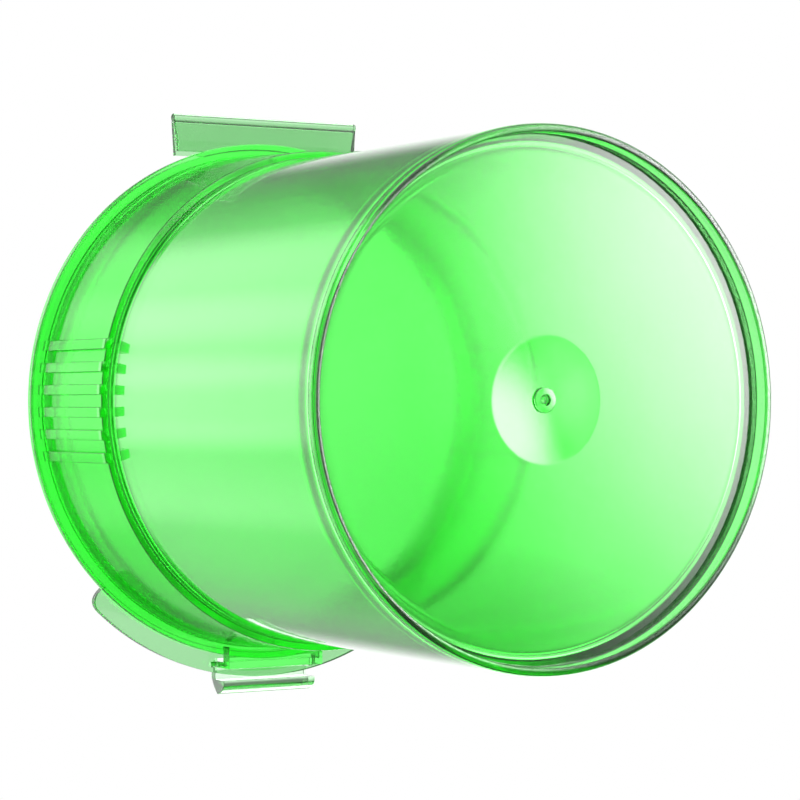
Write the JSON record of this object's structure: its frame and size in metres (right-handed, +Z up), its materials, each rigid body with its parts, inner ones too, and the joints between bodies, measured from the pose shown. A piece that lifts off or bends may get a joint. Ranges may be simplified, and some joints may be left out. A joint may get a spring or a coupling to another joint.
{
  "type": "hinged-lid jar",
  "caption": "Squat round see-through plastic jar with a strap-hinged lid, a wide thumb lip, a rocking front latch and ribbed grips on its collar.",
  "frame": {"origin": "centre of the base on the resting surface, on the cup's axis", "axes": "+Z up the cup's axis towards the lid, hinge at +Y, latch and thumb lip at -Y, grip ribs at +X and -X"},
  "size_m": [0.0598, 0.067, 0.0622],
  "materials": {
    "clear_green_plastic": "glossy, see-through moulded polypropylene, saturated green",
    "clear_green_thin": "the same see-through plastic in thin sections, paler"
  },
  "bodies": {
    "jar": {"jar_body": "clear_green_plastic", "jar_floor": "clear_green_plastic", "mouth_collar": "clear_green_plastic", "mouth_flange": "clear_green_plastic", "grip_ribs_right": "clear_green_plastic", "grip_ribs_left": "clear_green_plastic", "hinge_strap_jar": "clear_green_thin"},
    "lid": {"lid_disc": "clear_green_plastic", "seal_ring": "clear_green_plastic", "thumb_lip": "clear_green_thin", "hinge_strap_lid": "clear_green_thin"},
    "latch": {"latch_hook": "clear_green_plastic", "latch_web": "clear_green_plastic", "latch_torsion_pins": "clear_green_thin", "latch_bar": "clear_green_thin"}
  },
  "joints": [
    {"name": "lid_hinge", "type": "hinge", "parent": "jar", "child": "lid", "pos_m": [0, 0.0325, 0.06], "axis": [-1, 0, 0], "range_deg": [0, 170]},
    {"name": "latch_rock", "type": "hinge", "parent": "lid", "child": "latch", "pos_m": [0, -0.03048, 0.06055], "axis": [-1, 0, 0], "range_deg": [0, 30], "stiffness_Nm_per_rad": 0.02}
  ]
}
